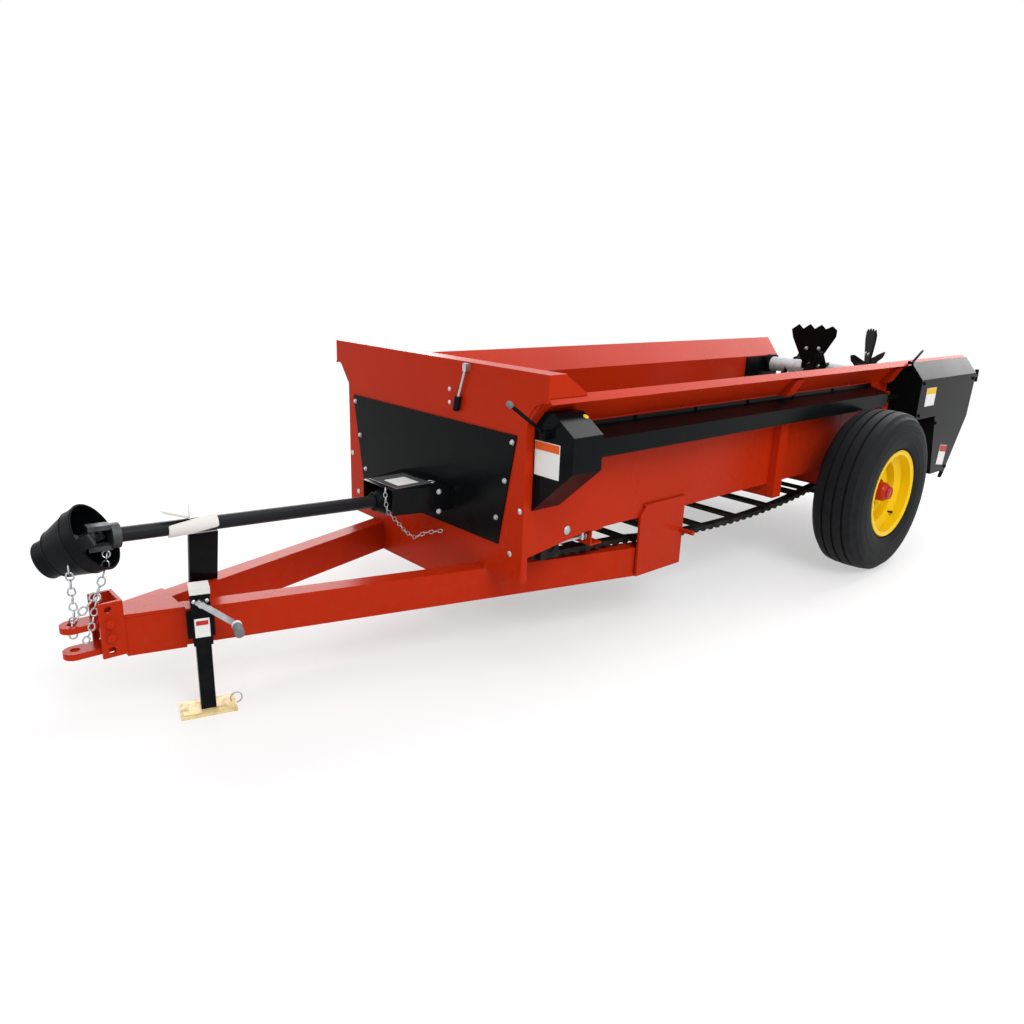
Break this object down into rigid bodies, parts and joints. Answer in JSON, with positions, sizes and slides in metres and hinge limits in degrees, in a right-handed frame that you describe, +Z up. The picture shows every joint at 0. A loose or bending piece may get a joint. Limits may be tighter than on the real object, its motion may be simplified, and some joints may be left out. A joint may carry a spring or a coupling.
{
  "type": "manure spreader",
  "caption": "Two-wheel box manure spreader with flared sides, chain-and-slat apron, saw-tooth paddle beater, A-frame tongue with pin clevis, shielded driveline and crank tongue jack.",
  "frame": {"origin": "on the floor under the middle of the machine's length and width", "axes": "+X forward to the hitch, +Y to the machine's left, +Z up"},
  "size_m": [4.7326, 1.7576, 1.067],
  "materials": {
    "red_paint": "gloss red-orange paint",
    "black_paint": "satin black paint",
    "yellow_paint": "gloss yellow paint",
    "tyre": "ribbed black rubber",
    "bare_steel": "bare grey steel",
    "black_plastic": "matt black guard plastic",
    "pale_plastic": "pale matt plastic",
    "zinc_gold": "yellow zinc plating",
    "wood": "dark weathered boards"
  },
  "bodies": {
    "chassis": {"side_left": "red_paint", "side_right": "red_paint", "front_panel": "red_paint", "front_cover": "black_paint", "floor_boards": "wood", "cross_sills": "red_paint", "stakes_left": "red_paint", "stakes_right": "red_paint", "tongue_left": "red_paint", "tongue_right": "red_paint", "tongue_crossbar": "red_paint", "tongue_nose": "red_paint", "tongue_bracket_left": "red_paint", "tongue_bracket_right": "red_paint", "hitch_channel": "red_paint", "hitch_clevis": "red_paint", "axle": "red_paint", "apron_chains": "black_paint", "apron_slats": "black_paint", "apron_drive": "black_paint", "apron_idler": "black_paint", "apron_bearings": "black_paint", "apron_return_bar": "black_paint", "beater_bearings": "black_paint", "beater_liners": "black_paint", "input_hood": "black_paint", "input_shaft": "bare_steel", "front_case": "black_paint", "shaft_shield": "black_paint", "drive_shaft": "black_paint", "rear_case": "black_paint", "pto_tube": "black_plastic", "pto_rear_cone": "black_plastic", "pto_yoke": "bare_steel", "pto_joint": "bare_steel", "pto_bell_upper": "black_plastic", "pto_bell_lower": "black_plastic", "pto_stand": "black_paint", "pto_tie": "pale_plastic", "jack_tube": "black_paint", "jack_cap": "pale_plastic", "jack_crank": "bare_steel", "control_lever": "black_paint", "rope_rod": "bare_steel"},
    "wheel_left": {"tyre_left": "tyre", "rim_left": "yellow_paint", "hub_left": "red_paint"},
    "wheel_right": {"tyre_right": "tyre", "rim_right": "yellow_paint", "hub_right": "red_paint"},
    "beater": {"beater_tube": "bare_steel", "beater_paddles": "black_paint"},
    "jack_leg": {"jack_leg": "black_paint", "jack_foot": "zinc_gold"}
  },
  "joints": [
    {"name": "wheel_left_spin", "type": "hinge", "parent": "chassis", "child": "wheel_left", "pos_m": [-0.98433, 0.759, 0.38], "axis": [0, 1, 0], "continuous": true},
    {"name": "wheel_right_spin", "type": "hinge", "parent": "chassis", "child": "wheel_right", "pos_m": [-0.98433, -0.759, 0.38], "axis": [0, 1, 0], "continuous": true},
    {"name": "beater_spin", "type": "hinge", "parent": "chassis", "child": "beater", "pos_m": [-2.09433, 0, 0.795], "axis": [0, 1, 0], "continuous": true},
    {"name": "jack_slide", "type": "slide", "parent": "chassis", "child": "jack_leg", "axis": [0, 0, 1], "range_m": [0, 0.105]}
  ]
}
